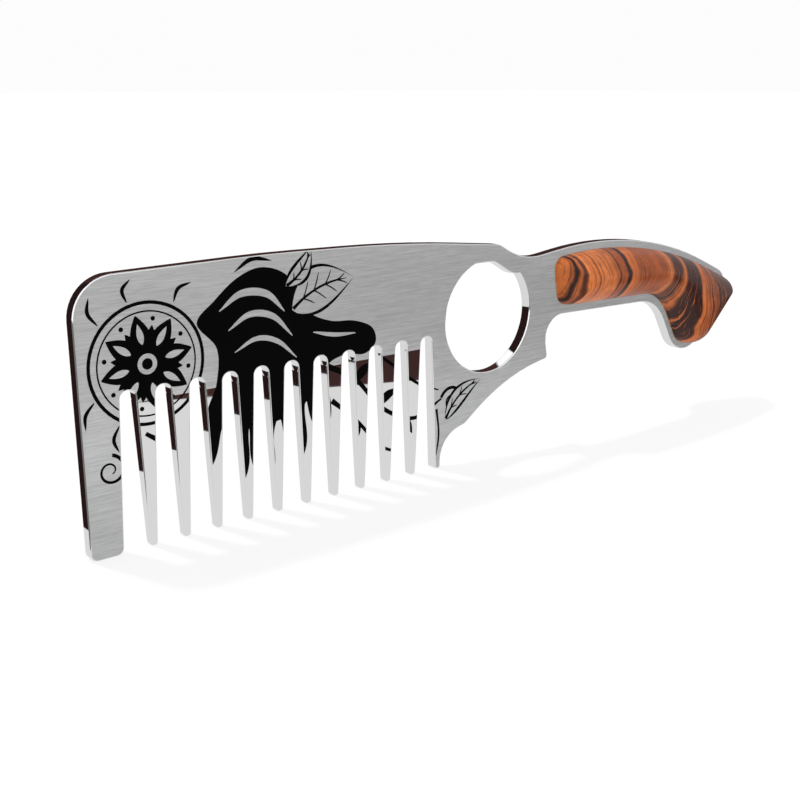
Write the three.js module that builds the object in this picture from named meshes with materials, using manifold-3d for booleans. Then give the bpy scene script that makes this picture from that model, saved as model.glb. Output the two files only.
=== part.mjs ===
// Beard comb with a finger ring and a wooden grip.
//
// One stainless plate makes the comb blade, the finger ring and the tang. A domed hardwood
// scale is bonded to the front of the tang and located by three hidden dowel pins.
//
// Millimetres. X runs along the comb towards the butt, Z is up from the tooth tips, and
// the plate's front face is towards -Y. The outlines are drawn from the middle of the
// first slot, with the plate's middle at Y = 0, and the finished group is then centred.

import * as THREE from 'three';
import { mergeVertices } from 'three/addons/utils/BufferGeometryUtils.js';
import Module from 'manifold-3d';

const wasm = await Module();
wasm.setup();

// ---- Driving dimensions -------------------------------------------------------------

// Plate
const sheet = 3.0; // thickness of the stainless sheet
const edgeRound = 0.25; // rounding of every edge of the plate
const edgeFacets = 2; // facets across that rounding
const chordError = 0.02; // how far a facet may stray from a true arc

// Comb blade
const gapCount = 11; // slots between the teeth
const toothPitch = 8.0;
const gapDepth = 35.3; // from the tooth tips to the top of each slot
const gapTipWidth = 6.4; // slot width at the tooth tips
const gapRootWidth = 3.5; // slot width at its round top
const rootRounding = 0.97; // rounding of each top corner, as a share of half that width
const guardTipWidth = 7.4; // the wide tooth at the blade's free end
const guardRound = 1.6; // rounding at the end of the wide tooth
const tipRound = 0.65; // rounding at the end of each slender tooth
const grindHeight = 32.5; // the slender teeth are ground thinner from here down
const tipThickness = 2.1;
const bladeHeight = 59.4; // tooth tips to the spine, at the free end
const bladeCorner = 9.0; // rounding of the free end's top corner
const spineRise = { x: 34, z: 0.75 }; // the spine's two corners, above the free end
const spineFall = { x: 73, z: -0.1 };
const spineRadius = 420;

// Finger ring
const ringRadius = 14.8;
const ringHeight = 37.85; // ring centre above the tooth tips
const ringWeb = 4.5; // steel between the last slot and the ring
const ringBridge = 4.2; // steel over the ring
const bridgeSwell = 0.9; // extra steel under the dip
const bridgeLead = { flat: 2, slope: 4 }; // the ring's corners, ahead of the spine's
const ringWall = 5.45; // steel between the ring and the finger notch, at its corner
const ringFloor = 2.2; // corner of the curve under the ring, below the ring

// Spine and heel, from the ring centre
const spineEnd = { x: 3.5, z: 18.2, radius: 4 }; // where the spine drops to the tang
const dip = { x: 12.4, z: 13.3, radius: 20 }; // corner that the dip is rounded from
const spurReach = 2.2; // spur that parts two fingers, beyond the notch corner
const spurDrop = 14.55;
const spurRound = 1.0;
const underX = 6.8; // the long curve under the ring
const underRadius = 56;

// Heel, from the tooth tips
const shelf = { x: -7.8, z: 10.2, radius: 4 }; // where the heel turns up to the ring
const heelHeight = 8.3; // corner that the last tooth's back edge is rounded from
const heelRadius = 8.2;
const heelWidth = 1.65; // the last tooth at its tip
const heelTipRound = 0.6;

// Tang and pommel
const notchRadius = 6.2; // finger notch beside the ring
const tangFall = 1.0; // how much lower the tang's underside is at the hook
const tangBottom = 3.8; // the underside at the hook, below the ring centre
const gripLength = 47.9; // from the notch corner to the inside of the hook
const crown = { lead: 4.9, z: 19.15, radius: 2.65 * gripLength }; // shapes the long back
const hookRadius = 13;
const hookSlope = 59.5; // degrees below level, the inside of the hook
const hookDrop = 22.6; // from the underside to the corner under the pommel
const pommelRadius = 9.0;
const buttSlope = 45; // degrees, the straight edge that ends the grip
const buttDrop = 1.3; // its upper corner, below the ring centre
const buttRadius = 6.5;

// Grip scale
const rim = 2.0; // steel left bare round the scale
const lowerRim = 2.7; // and along its underside
const scaleFront = 4.4; // steel left bare between the notch corner and the scale
const scaleMid = 9.7; // middle of the scale's front end, above the tang's underside
const scaleLean = 9; // degrees, the scale's front end from upright
const scaleThickness = 8.6;
const scaleEdge = 0.6; // upright edge at the foot of the dome
const domeWidth = 9.0; // how far in from its edge a scale goes on rising
const scaleRound = 3.4; // rounding of the scale's two front corners
const bondFilm = 0.15; // adhesive between the tang and the scale
const sectionCount = 60; // facets along the scale
const archCount = 12; // facets across it

// Hidden dowel pins
const pinRadius = 2.0;
const pinChamfer = 0.3;
const pinClearance = 0.1; // round each pin, filled by adhesive on the real comb
const pinInScale = 4.0; // how far a pin reaches into the scale
const pinInPlate = 1.8; // and into the plate, whose back stays plain
const pinEndGap = 0.3; // between a pin's end and the bottom of its hole
const pinHeight = 10.1; // the first two pins, above the tang's underside
const frontPinInset = 9; // first pin, from the scale's front end
const hookPinInset = 11; // second pin, from the inside of the hook
const pinSides = 16;

// ---- Values worked out from them ----------------------------------------------------

const lastGapX = (gapCount - 1) * toothPitch;
const ringX = lastGapX + gapRootWidth / 2 + ringWeb + ringRadius;
const notchX = ringX + ringRadius + ringWall;
const hookX = notchX + gripLength;
const undersideZ = ringHeight - tangBottom;
const scaleSeat = sheet / 2 + bondFilm; // the scale's flat face, from the plate's middle
const pinHole = pinRadius + pinClearance;
const pinFrom = sheet / 2 - pinInPlate; // a pin's two ends, in front of the plate's middle
const pinTo = scaleSeat + pinInScale;

// ---- Outline tools ------------------------------------------------------------------

function corner(x, z, radius = 0) {
  return { x, z, radius };
}

function toPoint({ x, z }) {
  return new THREE.Vector2(x, z);
}

function direction(degrees) {
  const angle = THREE.MathUtils.degToRad(degrees);
  return new THREE.Vector2(Math.cos(angle), Math.sin(angle));
}

// Where two lines meet, each given by a point and a direction.
function meeting(pointA, directionA, pointB, directionB) {
  const offset = pointB.clone().sub(pointA);
  const along = offset.cross(directionB) / directionA.cross(directionB);
  return pointA.clone().addScaledVector(directionA, along);
}

// The arc that touches both sides of a corner: its centre and its two angles.
function cornerArc(before, at, after) {
  const here = toPoint(at);
  const back = toPoint(before).sub(here).normalize();
  const ahead = toPoint(after).sub(here).normalize();
  const halfAngle = Math.acos(THREE.MathUtils.clamp(back.dot(ahead), -1, 1)) / 2;
  const middle = back.clone().add(ahead).normalize();
  const centre = here.clone().addScaledVector(middle, at.radius / Math.sin(halfAngle));
  const reach = at.radius / Math.tan(halfAngle);
  const first = here.clone().addScaledVector(back, reach).sub(centre);
  const last = here.clone().addScaledVector(ahead, reach).sub(centre);
  const start = first.angle();
  const turn = Math.atan2(first.cross(last), first.dot(last));
  return { centre, radius: at.radius, start, end: start + turn };
}

// Points along an arc, close enough together to keep within chordError.
function arcPoints({ centre, radius, start, end }) {
  const step = 2 * Math.acos(1 - chordError / Math.max(radius, 4 * chordError));
  const count = Math.max(2, Math.ceil(Math.abs(end - start) / step));
  const points = [];
  for (let i = 0; i <= count; i++) {
    const angle = start + ((end - start) * i) / count;
    const spoke = new THREE.Vector2(Math.cos(angle), Math.sin(angle));
    points.push(centre.clone().addScaledVector(spoke, radius));
  }
  return points;
}

function roundedCorner(before, at, after) {
  if (at.radius === 0) return [toPoint(at)];
  return arcPoints(cornerArc(before, at, after));
}

function roundedOutline(corners) {
  const count = corners.length;
  return corners.flatMap((at, i) =>
    roundedCorner(corners[(i + count - 1) % count], at, corners[(i + 1) % count])
  );
}

// The same corner with its two sides moved inwards, on an outline drawn clockwise.
function insetCorner(before, at, after, inset, insetAfter = inset) {
  const ahead = toPoint(at).sub(toPoint(before)).normalize();
  const onward = toPoint(after).sub(toPoint(at)).normalize();
  const inwards = (way) => new THREE.Vector2(way.y, -way.x);
  const sideA = toPoint(at).addScaledVector(inwards(ahead), inset);
  const sideB = toPoint(at).addScaledVector(inwards(onward), insetAfter);
  const moved = meeting(sideA, ahead, sideB, onward);
  const isHollow = ahead.cross(onward) > 0;
  return corner(moved.x, moved.y, isHollow ? at.radius + inset : at.radius - inset);
}

// ---- Tang corners, shared by the plate and the scale --------------------------------

const dipCorner = corner(ringX + dip.x, ringHeight + dip.z, dip.radius);
const notchCorner = corner(notchX, undersideZ + tangFall, notchRadius);
const hookCorner = corner(hookX, undersideZ, hookRadius);
const hookAhead = direction(-hookSlope);
const pommelCorner = corner(
  hookX + (hookDrop * hookAhead.x) / -hookAhead.y,
  undersideZ - hookDrop,
  pommelRadius
);
const buttTop = meeting(
  toPoint(pommelCorner),
  direction(buttSlope),
  new THREE.Vector2(0, ringHeight - buttDrop),
  direction(0)
);
const buttCorner = corner(buttTop.x, buttTop.y, buttRadius);
const crownCorner = corner(
  (notchX + buttCorner.x) / 2 - crown.lead,
  ringHeight + crown.z,
  crown.radius
);

// ---- Plate --------------------------------------------------------------------------

// Both flanks and the round top of one slot, from its right side to its left.
function slotCorners(index) {
  const x = index * toothPitch;
  const tip = gapTipWidth / 2;
  const root = gapRootWidth / 2;
  const topRound = root * rootRounding;
  return [
    corner(x + tip, 0, tipRound),
    corner(x + root, gapDepth, topRound),
    corner(x - root, gapDepth, topRound),
    corner(x - tip, 0, index === 0 ? guardRound : tipRound),
  ];
}

// Lower edge from the finger notch round the spur and down the heel to the last tooth.
function heelCorners() {
  const heelX = lastGapX + gapTipWidth / 2 + heelWidth;
  return [
    notchCorner,
    corner(notchX + spurReach, ringHeight - spurDrop, spurRound),
    corner(ringX + underX, ringHeight - ringRadius - ringFloor, underRadius),
    corner(ringX + shelf.x, shelf.z, shelf.radius),
    corner(heelX, heelHeight, heelRadius),
    corner(heelX, 0, heelTipRound),
  ];
}

function plateOutline() {
  const freeEnd = -gapTipWidth / 2 - guardTipWidth;
  const slots = [];
  for (let i = gapCount - 1; i >= 0; i--) slots.push(...slotCorners(i));
  return roundedOutline([
    corner(freeEnd, bladeHeight, bladeCorner),
    corner(spineRise.x, bladeHeight + spineRise.z, spineRadius),
    corner(spineFall.x, bladeHeight + spineFall.z, spineRadius),
    corner(ringX + spineEnd.x, ringHeight + spineEnd.z, spineEnd.radius),
    dipCorner,
    crownCorner,
    buttCorner,
    pommelCorner,
    hookCorner,
    ...heelCorners(),
    ...slots,
    corner(freeEnd, 0, guardRound),
  ]);
}

// The finger ring: a circle whose top follows the spine's end and the dip, so that a
// bridge of steel is left over it.
function ringOutline() {
  const flatZ = spineEnd.z - ringBridge;
  const slopeZ = dip.z + bridgeSwell - ringBridge;
  const flatX = -Math.sqrt(ringRadius ** 2 - flatZ ** 2);
  const slopeX = Math.sqrt(ringRadius ** 2 - slopeZ ** 2);
  const flatCorner = corner(spineEnd.x - bridgeLead.flat, flatZ, spineEnd.radius);
  const slopeCorner = corner(dip.x - bridgeLead.slope, slopeZ, dip.radius / 3);
  const circle = arcPoints({
    centre: new THREE.Vector2(0, 0),
    radius: ringRadius,
    start: Math.atan2(flatZ, flatX),
    end: Math.atan2(slopeZ, slopeX) + 2 * Math.PI,
  });
  const bridge = [
    ...roundedCorner(corner(slopeX, slopeZ), slopeCorner, flatCorner),
    ...roundedCorner(slopeCorner, flatCorner, corner(flatX, flatZ)),
  ];
  const centre = new THREE.Vector2(ringX, ringHeight);
  return [...circle, ...bridge].map((point) => point.add(centre));
}

// Extrudes an outline, drawn in X and Z, equally to both sides of the plate's middle.
function slab(outline, holes, thickness, round = 0) {
  const shape = new THREE.Shape(outline);
  shape.holes = holes.map((hole) => new THREE.Path(hole));
  const geometry = new THREE.ExtrudeGeometry(shape, {
    depth: thickness - 2 * round,
    bevelEnabled: round > 0,
    bevelThickness: round,
    bevelSize: round,
    bevelOffset: -round,
    bevelSegments: edgeFacets,
    steps: 1,
  });
  geometry.translate(0, 0, round - thickness / 2);
  geometry.rotateX(Math.PI / 2);
  return geometry;
}

// Thins the slender teeth evenly from grindHeight down to tipThickness at their tips. The
// wide tooth and the last tooth keep the full sheet.
function grindTeeth(plate) {
  const block = new THREE.BoxGeometry(lastGapX, 2 * grindHeight, 2 * grindHeight);
  block.translate(lastGapX / 2, 0, 0);
  const region = toSolid(block);
  const teeth = toGeometry(plate.intersect(region));
  const position = teeth.attributes.position;
  for (let i = 0; i < position.count; i++) {
    const below = 1 - position.getZ(i) / grindHeight;
    const thinning = 1 - below * (1 - tipThickness / sheet);
    position.setY(i, position.getY(i) * thinning);
  }
  return plate.subtract(region).add(toSolid(teeth));
}

// ---- Grip scale ---------------------------------------------------------------------

// Corners of the scale, clockwise from its lower front corner. It keeps rim away from the
// tang's edge, and its back starts on the same long arc as the tang's.
function scaleCorners() {
  const back = cornerArc(dipCorner, crownCorner, buttCorner);
  const backRadius = back.radius - rim;
  const frontMid = new THREE.Vector2(notchX + scaleFront, undersideZ + scaleMid);
  const frontWay = direction(90 + scaleLean);
  const backSine = (frontMid.x + scaleRound - back.centre.x) / backRadius;
  const backWay = new THREE.Vector2(Math.sqrt(1 - backSine ** 2), -backSine);
  const backNormal = new THREE.Vector2(-backWay.y, backWay.x);
  const backStart = back.centre.clone().addScaledVector(backNormal, backRadius);
  const butt = insetCorner(crownCorner, buttCorner, pommelCorner, rim);
  const buttWay = toPoint(buttCorner).sub(toPoint(crownCorner));
  const topCorner = meeting(frontMid, frontWay, backStart, backWay);
  const backCorner = meeting(backStart, backWay, toPoint(butt), buttWay);
  const hook = insetCorner(pommelCorner, hookCorner, notchCorner, rim, lowerRim);
  const lowWay = toPoint(notchCorner).sub(toPoint(hookCorner));
  const lowCorner = meeting(frontMid, frontWay, toPoint(hook), lowWay);
  return [
    corner(lowCorner.x, lowCorner.y, scaleRound),
    corner(topCorner.x, topCorner.y, scaleRound),
    corner(backCorner.x, backCorner.y, backRadius),
    butt,
    insetCorner(buttCorner, pommelCorner, hookCorner, rim),
    hook,
  ];
}

const scaleArcs = scaleCorners().map((at, i, all) =>
  cornerArc(all[(i + all.length - 1) % all.length], at, all[(i + 1) % all.length])
);
const [lowArc, topArc, backArc, buttArc, pommelArc, hookArc] = scaleArcs;

// Points spread evenly along a chain of points.
function evenly(chain, count) {
  const lengths = [0];
  for (let i = 1; i < chain.length; i++) {
    lengths.push(lengths[i - 1] + chain[i].distanceTo(chain[i - 1]));
  }
  const total = lengths[lengths.length - 1];
  const points = [];
  let span = 1;
  for (let i = 0; i <= count; i++) {
    const target = (total * i) / count;
    while (span < chain.length - 1 && lengths[span] < target) span++;
    const share = (target - lengths[span - 1]) / (lengths[span] - lengths[span - 1]);
    points.push(chain[span - 1].clone().lerp(chain[span], share));
  }
  return points;
}

// The scale's upper and lower edges, from its front end to its butt.
const upperEdge = evenly([topArc, backArc, buttArc].flatMap(arcPoints), sectionCount);
const lowerEdge = evenly(
  [pommelArc, hookArc, lowArc].flatMap(arcPoints).reverse(),
  sectionCount
);

function edgeDistance(point, outline) {
  let nearest = Infinity;
  outline.forEach((start, i) => {
    const side = outline[(i + 1) % outline.length].clone().sub(start);
    const offset = point.clone().sub(start);
    const share = THREE.MathUtils.clamp(offset.dot(side) / side.lengthSq(), 0, 1);
    nearest = Math.min(nearest, offset.addScaledVector(side, -share).length());
  });
  return nearest;
}

// Height of the dome above the scale's flat face: a quarter round that flattens out.
function domeHeight(inFromEdge) {
  const toCrown = 1 - Math.min(inFromEdge / domeWidth, 1);
  return scaleEdge + (scaleThickness - scaleEdge) * Math.sqrt(1 - toCrown ** 2);
}

// Sections across the scale, each a row of points from the lower edge to the upper one.
function scaleSections() {
  return upperEdge.map((upper, i) => {
    const row = [];
    for (let j = 0; j <= archCount; j++) {
      const share = (1 - Math.cos((Math.PI * j) / archCount)) / 2;
      row.push(lowerEdge[i].clone().lerp(upper, share));
    }
    return row;
  });
}

// The scale, from its flat face at the front of the bond to the crown of its dome.
function scaleGeometry() {
  const sections = scaleSections();
  const last = sections.length - 1;
  const rimPoints = [
    ...sections.map((row) => row[archCount]),
    ...sections[last].slice(1, -1).reverse(),
    ...sections.map((row) => row[0]).reverse(),
    ...sections[0].slice(1, -1),
  ];
  const vertices = [];
  const faces = [];
  const addVertex = (point, height) => {
    vertices.push(point.x, -scaleSeat - height, point.y);
    return vertices.length / 3 - 1;
  };

  const dome = sections.map((row) =>
    row.map((point) => addVertex(point, domeHeight(edgeDistance(point, rimPoints))))
  );
  for (let i = 0; i < last; i++) {
    for (let j = 0; j < archCount; j++) {
      faces.push(dome[i][j], dome[i + 1][j], dome[i + 1][j + 1]);
      faces.push(dome[i][j], dome[i + 1][j + 1], dome[i][j + 1]);
    }
  }

  const rimTop = rimPoints.map((point) => addVertex(point, scaleEdge));
  const rimFoot = rimPoints.map((point) => addVertex(point, 0));
  rimPoints.forEach((_, i) => {
    const next = (i + 1) % rimPoints.length;
    faces.push(rimTop[i], rimTop[next], rimFoot[next]);
    faces.push(rimTop[i], rimFoot[next], rimFoot[i]);
  });
  for (const [a, b, c] of THREE.ShapeUtils.triangulateShape(rimPoints, [])) {
    faces.push(rimFoot[a], rimFoot[c], rimFoot[b]);
  }

  const geometry = new THREE.BufferGeometry();
  geometry.setAttribute('position', new THREE.Float32BufferAttribute(vertices, 3));
  geometry.setIndex(faces);
  return geometry;
}

// ---- Dowel pins ---------------------------------------------------------------------

const pinPlaces = [
  new THREE.Vector2(notchX + scaleFront + frontPinInset, undersideZ + pinHeight),
  new THREE.Vector2(hookX - hookPinInset, undersideZ + pinHeight),
  pommelArc.centre,
];

function pinOutline(place) {
  const points = [];
  for (let i = 0; i < pinSides; i++) {
    const spoke = direction((360 * i) / pinSides);
    points.push(place.clone().addScaledVector(spoke, pinHole));
  }
  return points;
}

// A round rod across the plate between two distances in front of the plate's middle,
// with both of its ends chamfered.
function rod(place, radius, from, to) {
  const profile = [
    new THREE.Vector2(0, -to),
    new THREE.Vector2(radius - pinChamfer, -to),
    new THREE.Vector2(radius, pinChamfer - to),
    new THREE.Vector2(radius, -from - pinChamfer),
    new THREE.Vector2(radius - pinChamfer, -from),
    new THREE.Vector2(0, -from),
  ];
  const geometry = new THREE.LatheGeometry(profile, pinSides);
  geometry.translate(place.x, 0, place.y);
  return geometry;
}

// ---- Solids -------------------------------------------------------------------------

function toSolid(geometry) {
  const bare = geometry.clone();
  bare.deleteAttribute('normal');
  bare.deleteAttribute('uv');
  const merged = mergeVertices(bare, 1e-5);
  return new wasm.Manifold(
    new wasm.Mesh({
      numProp: 3,
      vertProperties: new Float32Array(merged.attributes.position.array),
      triVerts: new Uint32Array(merged.index.array),
    })
  );
}

function toGeometry(solid) {
  const mesh = solid.getMesh();
  const geometry = new THREE.BufferGeometry();
  geometry.setAttribute('position', new THREE.BufferAttribute(mesh.vertProperties, 3));
  geometry.setIndex(new THREE.BufferAttribute(mesh.triVerts, 1));
  geometry.computeVertexNormals();
  return geometry;
}

// The solid with a blind hole for each pin.
function drilled(solid) {
  const from = pinFrom - pinEndGap;
  const to = pinTo + pinEndGap;
  return pinPlaces.reduce(
    (left, place) => left.subtract(toSolid(rod(place, pinHole, from, to))),
    solid
  );
}

// ---- Assembly -----------------------------------------------------------------------

const steel = { color: 0xb4b6b8, metalness: 1.0, roughness: 0.32 };
const wood = { color: 0xa8521f, metalness: 0.0, roughness: 0.28 };
const epoxy = { color: 0xd8cfae, metalness: 0.0, roughness: 0.4 };
const pinSteel = { color: 0x9a9c9f, metalness: 1.0, roughness: 0.4 };

const comb = new THREE.Group();

function addPart(name, geometry, finish) {
  const part = new THREE.Mesh(geometry, new THREE.MeshStandardMaterial(finish));
  part.name = name;
  comb.add(part);
}

const outline = plateOutline();
const blank = toSolid(slab(outline, [ringOutline()], sheet, edgeRound));
addPart('comb_plate', toGeometry(drilled(grindTeeth(blank))), steel);

const bondOutline = scaleArcs.flatMap(arcPoints);
const bond = slab(bondOutline, pinPlaces.map(pinOutline), bondFilm);
bond.translate(0, -(sheet + bondFilm) / 2, 0);
addPart('scale_bond', bond, epoxy);
addPart('grip_scale', toGeometry(drilled(toSolid(scaleGeometry()))), wood);

const pinNames = ['front_pin', 'middle_pin', 'pommel_pin'];
pinPlaces.forEach((place, i) => {
  addPart(pinNames[i], rod(place, pinRadius, pinFrom, pinTo), pinSteel);
});

// The comb is centred on its length and on its depth.
const ends = outline.map((point) => point.x);
const domeCrown = scaleSeat + scaleThickness;
comb.position.x = -(Math.min(...ends) + Math.max(...ends)) / 2;
comb.position.y = (domeCrown - sheet / 2) / 2;

export default comb;
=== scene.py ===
# Beard comb with a finger ring and a wooden grip: finishes, printed ornament and grain,
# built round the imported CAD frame. Lengths are in metres, unless they are marked as
# millimetres.
import math

import bmesh
import bpy
import numpy as np
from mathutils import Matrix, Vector
from mathutils.geometry import delaunay_2d_cdt


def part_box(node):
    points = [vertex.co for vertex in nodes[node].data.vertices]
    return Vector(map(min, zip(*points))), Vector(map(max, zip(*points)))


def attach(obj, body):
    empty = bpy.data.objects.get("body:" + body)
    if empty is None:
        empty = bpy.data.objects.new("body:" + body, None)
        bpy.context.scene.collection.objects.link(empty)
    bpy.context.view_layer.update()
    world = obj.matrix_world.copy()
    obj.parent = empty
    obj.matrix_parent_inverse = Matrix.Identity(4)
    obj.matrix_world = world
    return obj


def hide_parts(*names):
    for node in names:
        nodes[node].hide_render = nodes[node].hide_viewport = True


MM = 0.001

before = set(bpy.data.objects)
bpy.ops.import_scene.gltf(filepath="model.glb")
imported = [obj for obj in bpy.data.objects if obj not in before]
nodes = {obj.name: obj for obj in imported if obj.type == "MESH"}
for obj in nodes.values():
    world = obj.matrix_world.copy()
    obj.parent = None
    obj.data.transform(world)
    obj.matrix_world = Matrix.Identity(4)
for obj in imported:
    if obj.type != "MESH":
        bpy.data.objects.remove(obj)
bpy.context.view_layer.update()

# ---- Sizes read from the frame ------------------------------------------------------

PLATE_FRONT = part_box("comb_plate")[0].y
PIN_NODES = ("front_pin", "middle_pin", "pommel_pin")
PIN_CLEARANCE = 0.1 * MM  # round each pin, inside the scale
PIN_END_GAP = 0.3 * MM

WELD_DISTANCE = 1e-7
NEARLY = 0.002 * MM  # places closer than this count as equal
FACING = 0.99  # least share of a face's normal along y on the front and the back
GROUND_LEAN = (0.008, 0.02)  # share of a ground face's normal along z
SMALLEST_GROUND_FACE = 0.5 * MM**2


def welded(node):
    """A bmesh copy of a CAD node with its split corners joined again."""
    mesh = bmesh.new()
    mesh.from_mesh(nodes[node].data)
    bmesh.ops.remove_doubles(mesh, verts=mesh.verts, dist=WELD_DISTANCE)
    mesh.normal_update()
    return mesh


def ground_zone(mesh):
    """First x, last x, top z and slope of the ground teeth, whose faces lean a little."""
    leaning = [
        face
        for face in mesh.faces
        if face.normal.y < -FACING
        and GROUND_LEAN[0] < abs(face.normal.z) < GROUND_LEAN[1]
        and face.calc_area() > SMALLEST_GROUND_FACE
    ]
    corners = [vert.co for face in leaning for vert in face.verts]
    xs = [corner.x for corner in corners]
    largest = max(leaning, key=lambda face: face.calc_area())
    slope = largest.normal.z / largest.normal.y
    return min(xs), max(xs), max(corner.z for corner in corners), slope


plate_mesh = welded("comb_plate")
GROUND_FROM, GROUND_TO, GROUND_TOP, GROUND_SLOPE = ground_zone(plate_mesh)


def is_ground(place):
    """Whether a place on the front lies on the ground teeth."""
    across = GROUND_FROM - NEARLY < place.x < GROUND_TO + NEARLY
    return across and place.z < GROUND_TOP - NEARLY


def front_y(place):
    """The y of the plate's front at a place."""
    if is_ground(place):
        return PLATE_FRONT + GROUND_SLOPE * (GROUND_TOP - place.z)
    return PLATE_FRONT


def front_faces(mesh):
    """Faces of the plate's flat and ground front, without the rounded edges."""
    return [
        face
        for face in mesh.faces
        if all(abs(vert.co.y - front_y(vert.co)) < NEARLY for vert in face.verts)
    ]


def edges_of(faces):
    """Every edge of the faces once, in an order that is the same each run."""
    return list(dict.fromkeys(edge for face in faces for edge in face.edges))


# ---- Node helpers -------------------------------------------------------------------


class Graph:
    """A material's or the world's node tree, with short calls to add nodes."""

    def __init__(self, tree):
        self.tree = tree
        tree.nodes.clear()

    def add(self, kind, inputs=None, **settings):
        node = self.tree.nodes.new(kind)
        for name, value in settings.items():
            setattr(node, name, value)
        for name, value in (inputs or {}).items():
            self.put(node.inputs[name], value)
        return node

    def put(self, socket, value):
        if isinstance(value, bpy.types.NodeSocket):
            self.tree.links.new(value, socket)
        else:
            socket.default_value = value

    def link_output(self, shader, kind):
        """Joins a shader to the tree's output."""
        self.put(self.add(kind).inputs["Surface"], shader.outputs[0])

    def math(self, operation, *values):
        node = self.tree.nodes.new("ShaderNodeMath")
        node.operation = operation
        for socket, value in zip(node.inputs, values):
            self.put(socket, value)
        return node.outputs[0]

    def product(self, first, *others):
        for other in others:
            first = self.math("MULTIPLY", first, other)
        return first

    def swing(self, value, middle, gain):
        """How far value is from the middle, times gain."""
        return self.math("MULTIPLY", self.math("SUBTRACT", value, middle), gain)

    def rest(self, share):
        return self.math("SUBTRACT", 1.0, share)

    def ramp(self, value, low, high, start=0.0, end=1.0):
        """Maps value from low..high to start..end with a soft step."""
        node = self.add(
            "ShaderNodeMapRange",
            {"Value": value, "From Min": low, "From Max": high, "To Min": start, "To Max": end},
            interpolation_type="SMOOTHSTEP",
        )
        return node.outputs["Result"]

    def mix(self, share, a, b, blend="MIX"):
        node = self.add("ShaderNodeMix", {"Factor": share}, data_type="RGBA", blend_type=blend)
        self.put(node.inputs[6], a)
        self.put(node.inputs[7], b)
        return node.outputs[2]

    def shaded(self, color, shade):
        """A colour made darker or lighter by the same share in every channel."""
        channels = {"Red": shade, "Green": shade, "Blue": shade}
        tone = self.add("ShaderNodeCombineColor", channels).outputs["Color"]
        return self.mix(1.0, color, tone, "MULTIPLY")

    def noise(self, vector, scale, detail, roughness):
        """Noise at a scale, or at three scales when it is stretched along the axes."""
        if isinstance(scale, tuple):
            mapping = {"Vector": vector, "Scale": scale}
            vector = self.add("ShaderNodeMapping", mapping).outputs["Vector"]
            scale = 1.0
        settings = {"Vector": vector, "Scale": scale, "Detail": detail, "Roughness": roughness}
        return self.add("ShaderNodeTexNoise", settings).outputs["Fac"]

    def color_ramp(self, value, stops):
        node = self.tree.nodes.new("ShaderNodeValToRGB")
        ramp = node.color_ramp
        while len(ramp.elements) < len(stops):
            ramp.elements.new(0.5)
        for element, (place, color) in zip(ramp.elements, stops):
            element.position = place
            element.color = (*color, 1)
        self.put(node.inputs["Fac"], value)
        return node.outputs["Color"]


def new_material(name, kind="ShaderNodeBsdfPrincipled"):
    """A material with one shader, with the graph and the shader to build on."""
    material = bpy.data.materials.new(name)
    material.use_nodes = True
    graph = Graph(material.node_tree)
    shader = graph.add(kind)
    graph.link_output(shader, "ShaderNodeOutputMaterial")
    return material, graph, shader


def millimetres(graph):
    """Place on the object in millimetres."""
    place = graph.add("ShaderNodeTexCoord").outputs["Object"]
    node = graph.add("ShaderNodeVectorMath", {0: place, "Scale": 1 / MM}, operation="SCALE")
    return node.outputs["Vector"]


def bump(graph, shader, height, distance):
    settings = {"Height": height, "Distance": distance, "Strength": 1.0}
    node = graph.add("ShaderNodeBump", settings)
    graph.put(shader.inputs["Normal"], node.outputs["Normal"])


NOISE_LOW, NOISE_MIDDLE, NOISE_HIGH = 0.3, 0.5, 0.7  # nearly all noise lies in this range


def vary(graph, shader, noise, dark, light, smoothest, roughest):
    """Lets a shader's colour and roughness follow a noise."""
    stops = [(NOISE_LOW, dark), (NOISE_HIGH, light)]
    graph.put(shader.inputs["Base Color"], graph.color_ramp(noise, stops))
    rough = graph.ramp(noise, NOISE_LOW, NOISE_HIGH, smoothest, roughest)
    graph.put(shader.inputs["Roughness"], rough)


# ---- Steel --------------------------------------------------------------------------

STEEL_BRUSHED = (0.62, 0.623, 0.625, 1)
STEEL_POLISHED = (0.84, 0.84, 0.84, 1)
BRUSHED_ROUGHNESS = (0.35, 0.45)
POLISHED_ROUGHNESS = (0.02, 0.04)
FACE_NORMAL = (0.975, 0.995)  # share along y where the edges' polish gives way to brushing
GROUND_MARGIN = 0.2  # millimetres of polish past the ground teeth, over their rounding

# Layers of fine lines left by the brushing: scales in x, y and z per millimetre, detail,
# roughness and share of the whole.
BRUSH_LINES = [
    ((0.16, 1, 5.5), 3, 0.6, 0.55),
    ((0.05, 1, 1.6), 2, 0.5, 0.25),
    ((0.5, 1, 14), 1, 0.5, 0.20),
]
BRUSH_CONTRAST = (0.36, 0.64, 0.84, 1.12)  # from line values to shades
LOW_PAINTED_SHADE = (4, 36, 0.84, 1.0)  # from heights in millimetres to shades: painted shade, the steel darker low down
BRUSH_DEPTH = 0.012 * MM
SMUDGES = (0.35, 0.75)  # noise values over which the polish gets rougher


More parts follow.
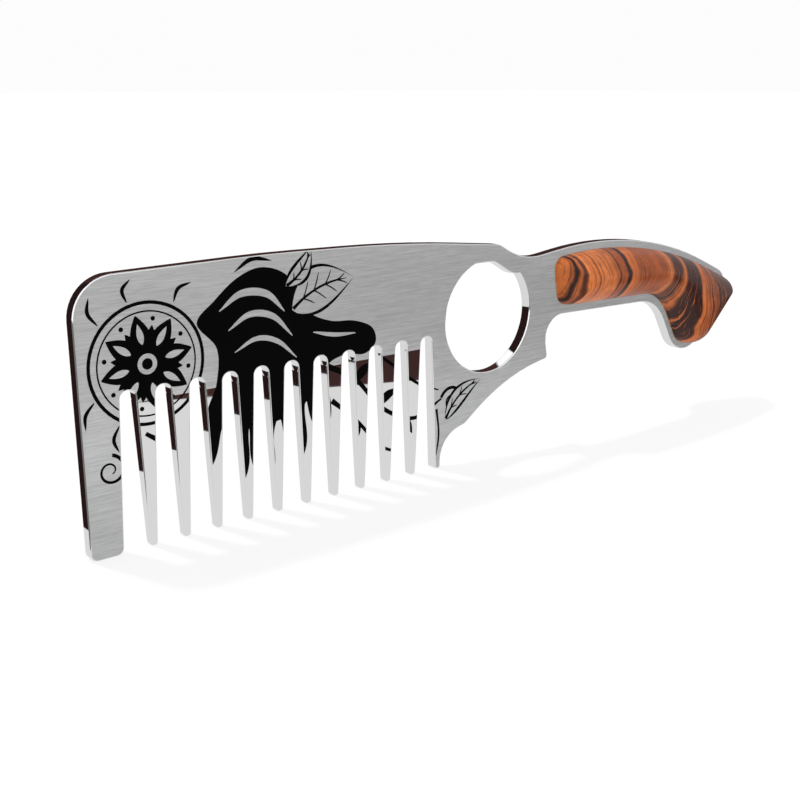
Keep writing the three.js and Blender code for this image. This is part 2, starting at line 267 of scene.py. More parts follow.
def plate_steel():
    """Brushed along the comb on its faces, polished on its edges and ground teeth."""
    material, graph, shader = new_material("plate_steel")
    place = millimetres(graph)
    x, _, z = graph.add("ShaderNodeSeparateXYZ", {"Vector": place}).outputs
    normal = graph.add("ShaderNodeTexCoord").outputs["Normal"]
    facing = graph.add("ShaderNodeSeparateXYZ", {"Vector": normal}).outputs["Y"]
    is_face = graph.ramp(graph.math("ABSOLUTE", facing), *FACE_NORMAL)
    is_low = graph.math("LESS_THAN", z, GROUND_TOP / MM)
    past_start = graph.math("GREATER_THAN", x, GROUND_FROM / MM - GROUND_MARGIN)
    before_end = graph.math("LESS_THAN", x, GROUND_TO / MM + GROUND_MARGIN)
    in_teeth = graph.product(past_start, before_end, is_low)
    brushed = graph.product(is_face, graph.rest(in_teeth))

    streaks = 0.0
    for scales, detail, roughness, share in BRUSH_LINES:
        layer = graph.product(graph.noise(place, scales, detail, roughness), share)
        streaks = graph.math("ADD", streaks, layer)
    # The brushing's streaks, times painted shade that makes the steel darker low down.
    shade = graph.product(graph.ramp(z, *LOW_PAINTED_SHADE), graph.ramp(streaks, *BRUSH_CONTRAST))
    streaked_with_painted_shade = graph.shaded(STEEL_BRUSHED, shade)
    graph.put(shader.inputs["Base Color"], graph.mix(brushed, STEEL_POLISHED, streaked_with_painted_shade))
    rough = graph.ramp(streaks, NOISE_LOW, NOISE_HIGH, *BRUSHED_ROUGHNESS)
    polish = graph.ramp(graph.noise(place, 0.09, 3, 0.6), *SMUDGES, *POLISHED_ROUGHNESS)
    rough_mix = graph.add("ShaderNodeMix", {"Factor": brushed, "A": polish, "B": rough})
    graph.put(shader.inputs["Roughness"], rough_mix.outputs["Result"])
    shader.inputs["Metallic"].default_value = 1.0
    bump(graph, shader, graph.product(streaks, brushed), BRUSH_DEPTH)
    return material


def pin_steel():
    """Turned rod, with fine rings from the lathe."""
    material, graph, shader = new_material("pin_steel")
    rings = graph.noise(millimetres(graph), (0.3, 9, 0.3), 2, 0.5)
    vary(graph, shader, rings, (0.42, 0.42, 0.43), (0.58, 0.58, 0.59), 0.28, 0.42)
    shader.inputs["Metallic"].default_value = 1.0
    bump(graph, shader, rings, 0.01 * MM)
    return material


def epoxy():
    """Thin line of clear amber adhesive with small cloudy spots."""
    material, graph, shader = new_material("epoxy")
    clouds = graph.noise(millimetres(graph), 1.8, 3, 0.6)
    vary(graph, shader, clouds, (0.30, 0.19, 0.09), (0.46, 0.33, 0.18), 0.25, 0.45)
    bump(graph, shader, clouds, 0.01 * MM)
    return material


def ink():
    """Black screen print, satin, with a faint orange-peel surface."""
    material, graph, shader = new_material("ink")
    peel = graph.noise(millimetres(graph), 3.5, 2, 0.5)
    vary(graph, shader, peel, (0.0008, 0.0008, 0.0008), (0.002, 0.002, 0.002), 0.5, 0.6)
    shader.inputs["Specular IOR Level"].default_value = 0.02
    bump(graph, shader, peel, 0.004 * MM)
    return material


# ---- Wood ---------------------------------------------------------------------------

# Growth bands of the striped hardwood, which cross the grip: the place where each starts,
# in millimetres along the comb, and its colour. Between two bands the colour blends.
ORANGE = (0.54, 0.136, 0.031)
GOLD = (0.68, 0.190, 0.049)
RUSSET = (0.34, 0.074, 0.017)
BROWN = (0.16, 0.037, 0.012)
UMBER = (0.060, 0.018, 0.011)
EBONY = (0.027, 0.010, 0.009)
GRAIN_BANDS = [
    (26.0, GOLD),
    (30.4, ORANGE),
    (30.9, EBONY),
    (31.6, EBONY),
    (32.1, ORANGE),
    (33.2, UMBER),
    (33.8, BROWN),
    (34.3, GOLD),
    (37.8, ORANGE),
    (38.2, BROWN),
    (38.7, GOLD),
    (45.7, ORANGE),
    (46.1, EBONY),
    (46.8, RUSSET),
    (48.9, RUSSET),
    (49.4, EBONY),
    (50.5, EBONY),
    (51.1, ORANGE),
    (57.0, RUSSET),
    (67.0, RUSSET),
    (69.4, GOLD),
    (70.6, BROWN),
    (72.0, EBONY),
    (75.0, UMBER),
    (76.4, ORANGE),
    (77.8, EBONY),
    (84.0, EBONY),
    (84.8, ORANGE),
    (87.6, RUSSET),
    (88.8, EBONY),
    (90.6, RUSSET),
    (92.6, UMBER),
]
GRAIN_LEAN = (43.0, -0.03)  # height at which the bands stay in place, and their lean
GRAIN_DRIFT = 5.0  # millimetres of slow waviness
GRAIN_WOBBLE = 1.3  # millimetres of fine waviness
DARK_LINES = (0.38, 0.52, 0.40, 1.0)  # from line values to shares of the band's colour
BRIGHT_LINES = (0.55, 0.60, 0.0, 0.8)  # from line values to shares of orange

# Fine orange lines show in the darkest bands: where along the comb they fade in and out,
# and the heights over which they get weaker, all in millimetres.
FIRE_IN, FIRE_OUT = (69.0, 73.0, 0.0, 1.0), (100.0, 104.0, 1.0, 0.0)
FIRE_HEIGHTS = (34, 46, 1.0, 0.30)
PORE_SCALES = (4.84, 2.64, 2.64)  # in x, y and z per millimetre
PORES = (0.62, 0.74)  # noise values from which a pore begins and is full
PORE_SHARE = 0.30
GRAIN_DEPTH = 0.03 * MM


def grain_stops():
    first = GRAIN_BANDS[0][0]
    span = GRAIN_BANDS[-1][0] - first
    return first, span, [((place - first) / span, color) for place, color in GRAIN_BANDS]


def striped_wood():
    """Zebra-striped hardwood under a satin oil finish. The grain is solid, so the stripes
    bend where the dome rises."""
    material, graph, shader = new_material("striped_wood")
    place = millimetres(graph)
    x, y, z = graph.add("ShaderNodeSeparateXYZ", {"Vector": place}).outputs
    drift = graph.noise(place, (0.03, 0.06, 0.07), 2, 0.5)
    wobble = graph.noise(place, (0.25, 0.22, 0.22), 3, 0.6)
    along = graph.math("ADD", x, graph.swing(z, *GRAIN_LEAN))
    along = graph.math("ADD", along, graph.swing(drift, NOISE_MIDDLE, GRAIN_DRIFT))
    along = graph.math("ADD", along, graph.swing(wobble, NOISE_MIDDLE, GRAIN_WOBBLE))
    first, span, stops = grain_stops()
    share = graph.math("DIVIDE", graph.math("SUBTRACT", along, first), span)
    bands = graph.color_ramp(share, stops)

    # Fine growth lines follow the bands; they are looked up by the distorted place.
    grown = graph.add("ShaderNodeCombineXYZ", {"X": along, "Y": y, "Z": z}).outputs["Vector"]
    lines = graph.noise(grown, (2.2, 0.05, 0.05), 3, 0.7)
    lined = graph.mix(graph.rest(graph.ramp(lines, *DARK_LINES)), bands, (*UMBER, 1))
    is_dark_zone = graph.product(graph.ramp(along, *FIRE_IN), graph.ramp(along, *FIRE_OUT))
    below_middle = graph.ramp(z, *FIRE_HEIGHTS)
    fire = graph.product(graph.ramp(lines, *BRIGHT_LINES), is_dark_zone, below_middle)
    fiery = graph.mix(fire, lined, (*ORANGE, 1))
    specks = graph.ramp(graph.noise(grown, PORE_SCALES, 2, 0.6), *PORES)
    speckled = graph.mix(graph.product(specks, PORE_SHARE), fiery, (*UMBER, 1))
    mottle = graph.ramp(graph.noise(place, 0.35, 3, 0.6), NOISE_LOW, NOISE_HIGH, 0.86, 1.16)
    graph.put(shader.inputs["Base Color"], graph.shaded(speckled, mottle))
    rough = graph.ramp(lines, NOISE_LOW, NOISE_HIGH, 0.34, 0.46)
    graph.put(shader.inputs["Roughness"], rough)
    shader.inputs["Specular IOR Level"].default_value = 0.2
    shader.inputs["Coat Weight"].default_value = 0.06
    shader.inputs["Coat Roughness"].default_value = 0.18
    surface = graph.math("SUBTRACT", graph.product(lines, 0.5), specks)
    bump(graph, shader, surface, GRAIN_DEPTH)
    return material


# ---- Curves -------------------------------------------------------------------------


def spline(a, b, c, d, t):
    """The point at share t of the smooth curve from b to c, with a before and d after."""
    bend = 2 * b + (c - a) * t + (2 * a - 5 * b + 4 * c - d) * t**2
    return 0.5 * bend + 0.5 * (3 * b - a - 3 * c + d) * t**3


def spline_through(points, count):
    """A smooth curve through all but the first point and the last two."""
    shares = np.linspace(0, 1, count, endpoint=False)[:, None]
    return np.vstack([spline(*points[i : i + 4], shares) for i in range(len(points) - 3)])


def curve_through(points):
    """An open smooth curve through the points."""
    points = np.array(points, float)
    before = 2 * points[0] - points[1]
    beyond = 2 * points[-1] - points[-2]
    curve = spline_through(np.vstack([before, points, beyond]), 12)
    return np.vstack([curve, points[-1:]])


def blob(points):
    """A closed smooth outline through the points."""
    points = np.array(points, float)
    return spline_through(np.vstack([points[-1:], points, points[:2]]), 10)


def circle(centre, radius, count=64):
    angles = np.linspace(0, 2 * math.pi, count, endpoint=False)
    return np.stack([centre[0] + radius * np.cos(angles), centre[1] + radius * np.sin(angles)], 1)


# ---- Grip scale ---------------------------------------------------------------------

DOME_WIDTH = 9.0 * MM  # how far in from its edge the scale goes on rising
SCALE_EDGE = 0.6 * MM  # upright edge at the foot of the dome
EDGE_STEP = 0.45 * MM  # spacing of points along the outline
RING_COUNT = 16  # rings of points from the outline to the crown
THIN_OUT = 6  # after so many rings, the next ones take fewer of their points
RING_MARGIN = 0.02 * MM  # a ring's point is left out when another edge is nearer
ON_SEAT = 1e-6
HOLE_SIDES = 32
SHARP_ANGLE = 40  # degrees


def seat_outline(node, seat):
    """The outline of the scale's flat face, as an ordered loop of points in x and z."""
    mesh = welded(node)
    flat = [
        face
        for face in mesh.faces
        if all(abs(vert.co.y - seat) < ON_SEAT for vert in face.verts)
    ]
    inside = set(flat)
    edges = [
        edge
        for edge in edges_of(flat)
        if sum(face in inside for face in edge.link_faces) == 1
    ]
    links = {}
    for edge in edges:
        for vert, other in (edge.verts, reversed(edge.verts)):
            links.setdefault(vert, []).append(other)
    loops = []
    while links:
        start = next(iter(links))
        loop = [start]
        here = links.pop(start)[0]
        while here is not start:
            loop.append(here)
            ahead = [vert for vert in links.pop(here) if vert in links or vert is start]
            here = ahead[0] if ahead[0] is not loop[-2] or len(ahead) == 1 else ahead[1]
        loops.append([(vert.co.x, vert.co.z) for vert in loop])
    longest = max(loops, key=len)
    mesh.free()
    return np.array(longest)


def smooth_loop(points, step):
    """A closed curve through the points, sampled evenly."""
    before = np.roll(points, 1, axis=0)
    after = np.roll(points, -1, axis=0)
    beyond = np.roll(points, -2, axis=0)
    shares = np.linspace(0, 1, 8, endpoint=False)
    fine = [spline(before, points, after, beyond, share) for share in shares]
    curve = np.stack(fine, axis=1).reshape(-1, 2)
    closed = np.vstack([curve, curve[:1]])
    length = np.concatenate([[0], np.cumsum(np.linalg.norm(np.diff(closed, axis=0), axis=1))])
    count = int(length[-1] / step)
    marks = np.linspace(0, length[-1], count, endpoint=False)
    return np.stack([np.interp(marks, length, closed[:, k]) for k in (0, 1)], axis=1)


def edge_distance(points, outline):
    """Distance from each point to the nearest side of the outline."""
    start, end = outline, np.roll(outline, -1, axis=0)
    side = end - start
    offset = points[:, None, :] - start[None, :, :]
    share = (offset * side).sum(2) / (side**2).sum(1)
    nearest = offset - np.clip(share, 0, 1)[:, :, None] * side
    return np.linalg.norm(nearest, axis=2).min(axis=1)


def inside_sides(points, start, end):
    """Whether each point lies inside the area that the sides enclose."""
    x, z = points[:, 0, None], points[:, 1, None]
    ax, az = start[:, 0], start[:, 1]
    bx, bz = end[:, 0], end[:, 1]
    crosses = (az > z) != (bz > z)
    at = ax + (z - az) / np.where(bz == az, 1e-12, bz - az) * (bx - ax)
    return (crosses & (x < at)).sum(axis=1) % 2 == 1


def inside_loop(points, loop):
    return inside_sides(points, loop, np.roll(loop, -1, axis=0))


def dome_points(outline):
    """Points inside the outline, in rings that crowd towards its edge."""
    forward = np.roll(outline, -1, axis=0) - np.roll(outline, 1, axis=0)
    inward = np.stack([forward[:, 1], -forward[:, 0]], axis=1)
    inward /= np.linalg.norm(inward, axis=1)[:, None]
    area = np.cross(outline, np.roll(outline, -1, axis=0)).sum()
    inward *= -1 if area > 0 else 1
    kept = []
    for ring in range(1, RING_COUNT + 1):
        depth = DOME_WIDTH * (1 - math.cos(math.pi / 2 * ring / RING_COUNT))
        row = (outline + inward * depth)[:: 1 + ring // THIN_OUT]
        own = np.abs(edge_distance(row, outline) - depth) < RING_MARGIN
        kept.append(row[own & inside_loop(row, outline)])
    return np.vstack(kept)


def dome_height(distance, thickness):
    """A quarter round that flattens out DOME_WIDTH in from the edge."""
    to_crown = 1 - np.minimum(distance / DOME_WIDTH, 1)
    return SCALE_EDGE + (thickness - SCALE_EDGE) * np.sqrt(1 - to_crown**2)


def triangles(points, loops):
    """Triangles between the loops' sides, through all the points, in x and z."""
    scaled = [Vector(point) / MM for point in points]
    edges = [(loop[i], loop[(i + 1) % len(loop)]) for loop in loops for i in range(len(loop))]
    verts, _, faces, _, _, _ = delaunay_2d_cdt(scaled, edges, [], 0, 1e-5)
    return np.array([tuple(vert) for vert in verts]) * MM, [tuple(face) for face in faces]


def pin_holes():
    """Centre in x and z, radius and far end of each pin's hole."""
    holes = []
    for name in PIN_NODES:
        low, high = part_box(name)
        centre = ((low.x + high.x) / 2, (low.z + high.z) / 2)
        holes.append((centre, (high.z - low.z) / 2 + PIN_CLEARANCE, low.y - PIN_END_GAP))
    return holes


def grip_scale(name, node, material):
    """The domed scale: fine dome, short upright edge and a flat seat with its pin holes."""
    low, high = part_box(node)
    seat = high.y
    outline = smooth_loop(seat_outline(node, seat), EDGE_STEP)
    count = len(outline)
    mesh = bmesh.new()

    points = np.vstack([outline, dome_points(outline)])
    flat, faces = triangles(points, [range(count)])
    rise = dome_height(edge_distance(flat, outline), seat - low.y)
    dome = [mesh.verts.new((p[0], seat - h, p[1])) for p, h in zip(flat, rise)]
    for face in faces:
        if inside_loop(flat[list(face)].mean(axis=0)[None], outline)[0]:
            mesh.faces.new([dome[i] for i in face])

    holes = pin_holes()
    rims = [circle(centre, radius, HOLE_SIDES) for centre, radius, _ in holes]
    starts = np.cumsum([count] + [len(rim) for rim in rims])
    loops = [range(count)]
    loops += [range(start, start + len(rim)) for start, rim in zip(starts, rims)]
    seat_points, seat_faces = triangles(np.vstack([outline, *rims]), loops)
    base = [mesh.verts.new((p[0], seat, p[1])) for p in seat_points]
    for face in seat_faces:
        middle = seat_points[list(face)].mean(axis=0)[None]
        drilled = any(inside_loop(middle, rim)[0] for rim in rims)
        if inside_loop(middle, outline)[0] and not drilled:
            mesh.faces.new([base[i] for i in face])
    for i in range(count):
        ahead = (i + 1) % count
        mesh.faces.new([base[i], base[ahead], dome[ahead], dome[i]])
    for (_, _, end), loop in zip(holes, loops[1:]):
        floor = [mesh.verts.new((base[i].co.x, end, base[i].co.z)) for i in loop]
        mesh.faces.new(floor)
        for k, i in enumerate(loop):
            ahead = (k + 1) % len(floor)
            mesh.faces.new([base[i], base[loop[ahead]], floor[ahead], floor[k]])
    bmesh.ops.recalc_face_normals(mesh, faces=mesh.faces)
    piece = as_object(name, mesh, material)
    piece.data.set_sharp_from_angle(angle=math.radians(SHARP_ANGLE))
    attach(piece, "root")
    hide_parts(node)
    return piece


def as_object(name, mesh, material, smooth=True):
    data = bpy.data.meshes.new(name)
    mesh.to_mesh(data)
    mesh.free()
    data.polygons.foreach_set("use_smooth", [smooth] * len(data.polygons))
    piece = bpy.data.objects.new(name, data)
    bpy.context.scene.collection.objects.link(piece)
    data.materials.append(material)
    return piece


# ---- Printed ornament ---------------------------------------------------------------

# A scroll-and-leaf print on the front of the blade, in millimetres: x along the comb and
# z up. Shapes are laid one over another, and each is either ink or bare steel.
INK_FILM = 0.03 * MM
INK_SINK = 0.01 * MM  # how far the film's underside lies in the steel
INK, BARE = True, False
THINNEST_STROKE = 0.04


def stroke(points, start, middle, end):
    """A brush stroke along a smooth curve, with its width at the start, middle and end."""
    line = curve_through(points)
    way = np.gradient(line, axis=0)
    way /= np.linalg.norm(way, axis=1)[:, None]
    side = np.stack([-way[:, 1], way[:, 0]], axis=1)
    share = np.linspace(0, 1, len(line))
    swell = 4 * share * (1 - share)
    width = (start * (1 - share) + end * share) * (1 - swell) + middle * swell
    half = np.maximum(width, THINNEST_STROKE)[:, None] / 2
    return np.vstack([line + side * half, (line - side * half)[::-1]])


def leaf_spine(base, tip, bend, share):
    """The point at a share of a leaf's midrib, and the direction across the leaf."""
    base, tip = np.array(base, float), np.array(tip, float)
    along = tip - base
    length = np.linalg.norm(along)
    across = np.array([-along[1], along[0]]) / length
    return base + along * share + across * (bend * length) * 4 * share * (1 - share), across


def leaf(base, tip, width, bend=0.0):
    """A pointed leaf from base to tip, bent sideways by a share of its length."""
    share = np.linspace(0, 1, 22)[:, None]
    spine, across = leaf_spine(base, tip, bend, share)
    half = width / 2 * np.sin(math.pi * share**0.8) ** 0.9
    return np.vstack([spine + across * half, (spine - across * half)[::-1][1:-1]])


def scroll(centre, outer, inner, turns, start, width, way=1):
    """A tapering spiral that winds from the outer radius to the inner one."""
    share = np.linspace(0, 1, int(36 * turns))
    angle = math.radians(start) + way * 2 * math.pi * turns * share
    radius = outer + (inner - outer) * share
    half = width / 2 * (0.35 + 0.65 * (1 - share))
    rays = np.stack([np.cos(angle), np.sin(angle)], axis=1)
    centre = np.array(centre, float)
    outside = centre + rays * (radius + half)[:, None]
    return np.vstack([outside, (centre + rays * (radius - half)[:, None])[::-1]])


PETALS = 8
PETAL_TURN = 0.2  # radians
MEDALLION_RINGS = [(0, INK), (0.75, BARE), (2.0, INK), (2.35, BARE)]  # insets
MEDALLION_HUB = [(3.1, INK), (2.2, BARE), (1.2, INK)]  # radii


def petal_ray(place):
    """The direction of a petal, counted round the rosette."""
    angle = 2 * math.pi * place / PETALS + PETAL_TURN
    return np.array([math.cos(angle), math.sin(angle)])


def medallion(centre, radius):
    """A rosette in a double ring: long petals with a slit, and a short one and a dot
    between each two."""
    shapes = [(circle(centre, radius - inset), paint) for inset, paint in MEDALLION_RINGS]
    hub = np.array(centre, float)
    for i in range(PETALS):
        ray, between = (petal_ray(i + offset) for offset in (0, 0.5))
        shapes.append((leaf(hub + ray * 2.0, hub + ray * radius * 0.80, 4.6), INK))
        shapes.append((leaf(hub + between * 2.0, hub + between * radius * 0.62, 2.6), INK))
        shapes.append((leaf(hub + ray * 4.2, hub + ray * radius * 0.66, 1.5), BARE))
        shapes.append((circle(hub + between * radius * 0.72, 0.5, 16), INK))
    shapes += [(circle(centre, size), paint) for size, paint in MEDALLION_HUB]
    return shapes


def veined_leaf(base, tip, width, bend, veins):
    """An outlined leaf with a midrib and side veins."""
    shapes = [(leaf(base, tip, width, bend), INK), (leaf(base, tip, width - 1.5, bend), BARE)]
    rib = [leaf_spine(base, tip, bend, share)[0] for share in np.linspace(0.02, 0.9, 6)]
    shapes.append((stroke(rib, 0.9, 0.55, 0.1), INK))
    for k in range(veins):
        share = 0.2 + 0.55 * k / max(veins - 1, 1)
        start, across = leaf_spine(base, tip, bend, share)
        ahead, _ = leaf_spine(base, tip, bend, share + 0.14)
        reach = width * 0.30 * math.sin(math.pi * (share + 0.12))
        for hand in (-1, 1):
            end = ahead + across * hand * reach
            middle = (start + end) / 2 - across * hand * 0.15
            shapes.append((stroke([start, middle, end], 0.45, 0.3, 0.08), INK))
    return shapes


def ornament():
    """Medallion, wave with drops down the teeth, crest leaf and a tendril to the heel."""
    shapes = []
    wave = [
        (-79.5, 47.0), (-75.0, 51.5), (-69.5, 55.6), (-63.5, 57.4), (-57.5, 55.6),
        (-53.5, 51.0), (-51.0, 46.0), (-45.0, 43.2), (-38.5, 42.4), (-33.2, 40.2),
        (-32.0, 36.4), (-35.4, 34.0), (-41.0, 34.6), (-46.0, 33.0), (-50.0, 28.0),
        (-54.0, 23.5), (-60.0, 22.0), (-66.5, 21.5), (-73.0, 22.5), (-78.0, 26.5),
        (-75.4, 33.5), (-75.0, 41.0),
    ]
    shapes.append((blob(wave), INK))
    drops = [
        [(-77.0, 27.0), (-78.6, 20.0), (-80.2, 12.5)],
        [(-71.0, 25.0), (-71.0, 17.0), (-70.2, 8.5)],
        [(-64.0, 24.0), (-64.4, 16.0), (-62.6, 7.5)],
        [(-56.5, 26.0), (-55.4, 18.0), (-55.0, 10.0)],
        [(-50.0, 30.0), (-48.6, 24.0), (-47.2, 16.0)],
    ]
    for points in drops:
        shapes.append((stroke(points, 9.0, 6.4, 0.2), INK))
    cuts = [
        ([(-74.0, 49.0), (-68.5, 52.2), (-62.0, 51.4), (-57.5, 47.0)], 0.2, 1.7, 0.2),
        ([(-72.0, 44.5), (-66.5, 47.4), (-60.5, 46.2), (-55.6, 41.2)], 0.2, 1.5, 0.2),
        ([(-70.6, 39.5), (-65.0, 41.8), (-59.5, 40.4), (-54.6, 36.0)], 0.2, 1.2, 0.2),
        ([(-50.0, 41.2), (-44.0, 39.8), (-38.0, 39.4)], 0.2, 1.0, 0.2),
        ([(-79.0, 24.0), (-79.4, 19.0), (-80.0, 15.0)], 0.1, 0.7, 0.1),
        ([(-70.6, 22.0), (-70.4, 16.0), (-70.0, 11.5)], 0.1, 0.8, 0.1),
        ([(-63.6, 21.0), (-63.6, 15.0), (-62.8, 10.5)], 0.1, 0.8, 0.1),
    ]
    for points, start, middle, end in cuts:
        shapes.append((stroke(points, start, middle, end), BARE))
    shapes += veined_leaf((-55.5, 47.0), (-38.4, 52.6), 11.0, 0.10, 4)
    shapes += veined_leaf((-57.0, 52.5), (-50.2, 60.6), 5.2, -0.12, 3)
    shapes.append((stroke([(-70.0, 57.0), (-65.5, 59.4), (-60.5, 58.6)], 0.1, 1.0, 0.1), INK))

    shapes += medallion((-91.3, 40.2), 13.2)
    sprigs = [
        [(-101.5, 49.5), (-103.4, 52.2), (-103.0, 55.2)],
        [(-95.0, 53.4), (-95.8, 56.0), (-94.0, 58.0)],
        [(-84.6, 52.4), (-83.4, 55.0), (-80.4, 56.0)],
        [(-103.4, 34.0), (-105.4, 31.6), (-105.6, 28.6)],
        [(-98.4, 28.2), (-99.8, 25.4), (-98.8, 22.6)],
    ]
    for points in sprigs:
        shapes.append((stroke(points, 0.2, 0.8, 0.1), INK))
    shapes.append((scroll((-101.0, 19.0), 3.4, 0.7, 1.4, 80, 0.8, -1), INK))
    shapes.append((stroke([(-92.6, 25.4), (-88.0, 21.5), (-87.6, 15.0)], 0.9, 1.3, 0.1), INK))

    long_tendril = [(-47.0, 33.0), (-38.0, 28.0), (-30.0, 19.5), (-20.0, 15.0), (-11.0, 18.5)]
    tendrils = [
        (long_tendril, 1.6, 1.1, 0.5),
        ([(-45.0, 24.0), (-38.0, 18.0), (-30.0, 9.5), (-22.0, 6.5)], 1.4, 0.9, 0.2),
        ([(-34.0, 35.0), (-27.0, 30.0), (-19.0, 24.0), (-12.0, 21.0)], 1.2, 0.8, 0.3),
    ]
    for points, start, middle, end in tendrils:
        shapes.append((stroke(points, start, middle, end), INK))
    for base, tip, width in (
        ((-38.0, 27.6), (-33.0, 31.4), 2.6),
        ((-31.0, 20.4), (-25.0, 23.6), 2.4),
        ((-36.6, 16.4), (-41.4, 12.0), 2.4),
        ((-29.0, 9.0), (-33.6, 4.6), 2.2),
        ((-24.0, 16.0), (-20.4, 11.0), 2.2),
    ):
        shapes.append((leaf(base, tip, width, 0.08), INK))
    shapes.append((scroll((-7.4, 17.4), 3.9, 0.7, 1.5, 160, 0.9, -1), INK))
    shapes += veined_leaf((-9.6, 12.6), (2.6, 21.6), 5.4, 0.12, 3)
    shapes.append((stroke([(-12.6, 16.0), (-11.8, 9.5), (-12.6, 3.5)], 0.8, 0.6, 0.1), INK))
    return shapes


def ink_film(name, material):
    """The ornament as a film on the plate's front, cut to the steel that lies under it."""
    faces = front_faces(plate_mesh)
    kept = set(faces)
    ground = {face for face in faces if is_ground(face.calc_center_median())}
    verts, index, edges, rim = [], {}, [], []
    for edge in edges_of(faces):
        fronts = [face for face in edge.link_faces if face in kept]
        is_rim = len(fronts) == 1
        is_crease = not is_rim and (fronts[0] in ground) != (fronts[1] in ground)
        if not (is_rim or is_crease):
            continue
        for vert in edge.verts:
            if vert not in index:
                index[vert] = len(verts)
                verts.append((vert.co.x / MM, vert.co.z / MM))
        edges.append((index[edge.verts[0]], index[edge.verts[1]]))
        if is_rim:
            rim.append(edges[-1])
    rim_start, rim_end = (np.array([verts[i] for i in side]) for side in zip(*rim))
    shapes = ornament()
    for loop, _ in shapes:
        start = len(verts)
        verts += [tuple(point) for point in loop]
        edges += [(start + i, start + (i + 1) % len(loop)) for i in range(len(loop))]

    points, _, cells, _, _, _ = delaunay_2d_cdt([Vector(v) for v in verts], edges, [], 0, 1e-4)
    flat = np.array([tuple(point) for point in points])
    cells = np.array([tuple(cell) for cell in cells])
    middles = flat[cells].mean(axis=1)
    inked = np.zeros(len(cells), bool)
    for loop, paint in shapes:
        near = np.all((middles > loop.min(axis=0)) & (middles < loop.max(axis=0)), axis=1)
        chosen = np.flatnonzero(near)
        inked[chosen[inside_loop(middles[chosen], loop)]] = paint

    inked &= inside_sides(middles, rim_start, rim_end)
    mesh = bmesh.new()
    made = {}

    def on_steel(i):
        if i not in made:
            place = Vector((flat[i][0] * MM, PLATE_FRONT, flat[i][1] * MM))
            height = front_y(place) - (INK_FILM - INK_SINK)
            made[i] = mesh.verts.new((place.x, height, place.z))
        return made[i]

    for cell in cells[inked]:
        mesh.faces.new([on_steel(i) for i in cell])
    bmesh.ops.recalc_face_normals(mesh, faces=mesh.faces)
    for face in mesh.faces:
        if face.normal.y > 0:
            face.normal_flip()
    piece = as_object(name, mesh, material, smooth=False)
    solidify = piece.modifiers.new("thickness", "SOLIDIFY")
    solidify.thickness = INK_FILM
    solidify.offset = -1
    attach(piece, "root")
    return piece


# ---- Stage, light and camera --------------------------------------------------------

CAMERA_PLACE = (-0.19025, -0.20232, 0.09557)
CAMERA_HEADING = 38.925  # degrees from +Y towards +X
CAMERA_TILT = 15.876  # degrees below level
CAMERA_LENS = 50.0  # millimetres
CAMERA_SENSOR = 36.0  # millimetres


def add_camera():
    camera = bpy.data.cameras.new("camera")
    camera.lens = CAMERA_LENS
    camera.sensor_width = CAMERA_SENSOR
    camera.clip_start = 0.01
    holder = bpy.data.objects.new("camera", camera)
    holder.location = CAMERA_PLACE
    holder.rotation_euler = (math.radians(90 - CAMERA_TILT), 0, math.radians(-CAMERA_HEADING))
    bpy.context.scene.collection.objects.link(holder)
    bpy.context.scene.camera = holder


FLOOR_HALF = 12  # metres
FLOOR_COLOR = (0.20, 0.20, 0.20, 1)
FLOOR_GLOW = 0.77  # lit from below like a light table, so shadows on it stay faint


def add_floor():
    mesh = bmesh.new()
    bmesh.ops.create_grid(mesh, x_segments=1, y_segments=1, size=FLOOR_HALF)
    material, _, shader = new_material("floor_white")
    shader.inputs["Base Color"].default_value = FLOOR_COLOR
    shader.inputs["Emission Color"].default_value = (1, 1, 1, 1)
    shader.inputs["Emission Strength"].default_value = FLOOR_GLOW
    shader.inputs["Roughness"].default_value = 0.9
    shader.inputs["Specular IOR Level"].default_value = 0.0
    floor = as_object("floor", mesh, material, smooth=False)
    floor.visible_glossy = False


SKY_WHITE = (0.98, 0.98, 0.98, 1)
REFLECTED_ROOM = (0.052, 0.024, 0.023, 1)
REFLECTED_CORNER = (0.022, 0.010, 0.010, 1)  # towards the comb's free end
SOFT_SIDE = 2  # degrees over which a lamp or a corner fades

# The steel reflects a pale floor that ends at a table's edge, with a dark room beyond it.
# Corners in millimetres, in x and y.
TABLE = [(-114, -118), (140, -27), (140, 420), (-30, 420), (-101, 92), (-114, 36)]
TABLE_Z = -0.5
TABLE_BRIGHT = 0.80

# Lamps: headings from +Y towards +X and heights, both in degrees, then brightness.
SOFT_BOXES = [
    ((-12, 36), (38, 58), 1.25),
    ((-175, -60), (-50, -6), 0.19),
    ((-130, -62), (-6, 60), 1.25),
    ((60, 150), (-12, 70), 0.74),
    ((146, 182), (-10, 70), 1.3),
    ((-182, -126), (-10, 70), 1.3),
]


def add_reflected_table():
    """A glowing plane just under the floor, which only mirrored light can see."""
    mesh = bmesh.new()
    mesh.faces.new([mesh.verts.new((x * MM, y * MM, TABLE_Z * MM)) for x, y in TABLE])
    material, _, shader = new_material("table_glow", "ShaderNodeEmission")
    shader.inputs["Color"].default_value = (1, 1, 1, 1)
    shader.inputs["Strength"].default_value = TABLE_BRIGHT
    table = as_object("reflected_table", mesh, material, smooth=False)
    table.visible_camera = False
    table.visible_diffuse = False
    table.visible_shadow = False


def soft_box(graph, heading, height, heading_range, height_range):
    """1 inside a box of headings and heights, both in degrees, with soft sides."""
    sides = []
    for value, (low, high) in ((heading, heading_range), (height, height_range)):
        past_low, past_high = (
            graph.ramp(value, limit - SOFT_SIDE, limit + SOFT_SIDE) for limit in (low, high)
        )
        sides += [past_low, graph.rest(past_high)]
    return graph.product(*sides)


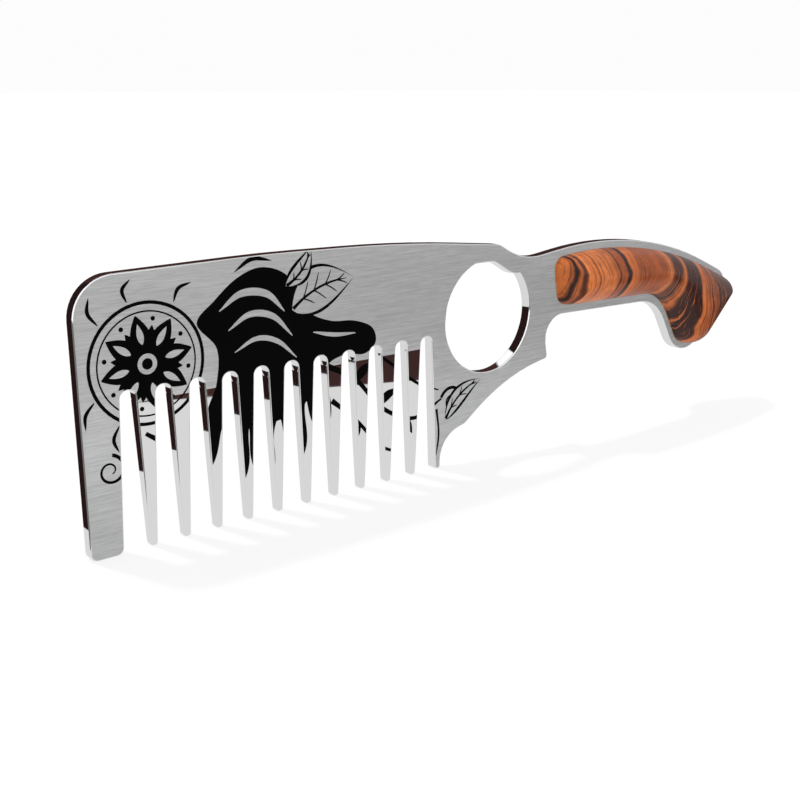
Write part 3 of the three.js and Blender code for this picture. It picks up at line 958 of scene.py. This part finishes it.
def add_world():
    """A white studio. Glossy surfaces see a dark room with lamps in it instead."""
    world = bpy.data.worlds.new("studio")
    bpy.context.scene.world = world
    world.use_nodes = True
    graph = Graph(world.node_tree)
    toward = graph.add("ShaderNodeTexCoord").outputs["Generated"]
    x, y, z = graph.add("ShaderNodeSeparateXYZ", {"Vector": toward}).outputs
    height = graph.math("DEGREES", graph.math("ARCSINE", z))
    heading = graph.math("DEGREES", graph.math("ARCTAN2", x, y))
    past_corner = graph.ramp(heading, -SOFT_SIDE, SOFT_SIDE)
    room = graph.mix(past_corner, REFLECTED_CORNER, REFLECTED_ROOM)
    for heading_range, height_range, brightness in SOFT_BOXES:
        box = soft_box(graph, heading, height, heading_range, height_range)
        room = graph.mix(box, room, (brightness, brightness, brightness, 1))
    path = graph.add("ShaderNodeLightPath")
    seen = graph.mix(path.outputs["Is Glossy Ray"], SKY_WHITE, room)
    background = graph.add("ShaderNodeBackground", {"Color": seen, "Strength": 1.0})
    graph.link_output(background, "ShaderNodeOutputWorld")


SUN_ENERGY = 1.2
SUN_ANGLE = 4  # degrees across, which sets how soft the shadows are
SUN_TOWARD = (-0.152, 0.443, 1.0)


def add_sun():
    lamp = bpy.data.lights.new("sun", "SUN")
    lamp.energy = SUN_ENERGY
    lamp.angle = math.radians(SUN_ANGLE)
    holder = bpy.data.objects.new("sun", lamp)
    holder.rotation_euler = Vector(SUN_TOWARD).to_track_quat("Z", "Y").to_euler()
    bpy.context.scene.collection.objects.link(holder)
    holder.visible_glossy = False


WIDEST_FACET = 15 * MM**2  # anything larger is a flat face, not part of a curve
NORMAL_WEIGHT = 80  # how much more the large faces count in the shading of a corner


def finish_node(name, material):
    """Gives a CAD node its material, and smooth shading on all but its flat faces."""
    node = nodes[name]
    node.data.materials.clear()
    node.data.materials.append(material)
    smooth = [
        abs(polygon.normal.y) < FACING and polygon.area < WIDEST_FACET
        for polygon in node.data.polygons
    ]
    node.data.polygons.foreach_set("use_smooth", smooth)
    weld = node.modifiers.new("weld", "WELD")
    weld.merge_threshold = WELD_DISTANCE
    normals = node.modifiers.new("normals", "WEIGHTED_NORMAL")
    normals.mode = "FACE_AREA_WITH_ANGLE"
    normals.weight = NORMAL_WEIGHT
    normals.keep_sharp = True


add_camera()
add_world()
add_sun()
add_floor()
add_reflected_table()
finish_node("comb_plate", plate_steel())
pin_finish = pin_steel()
for pin in PIN_NODES:
    finish_node(pin, pin_finish)
finish_node("scale_bond", epoxy())
grip = grip_scale("domed_grip_scale", "grip_scale", striped_wood())
grip.visible_glossy = False
ink_film("printed_ornament", ink())

bpy.context.scene.view_settings.view_transform = "Standard"
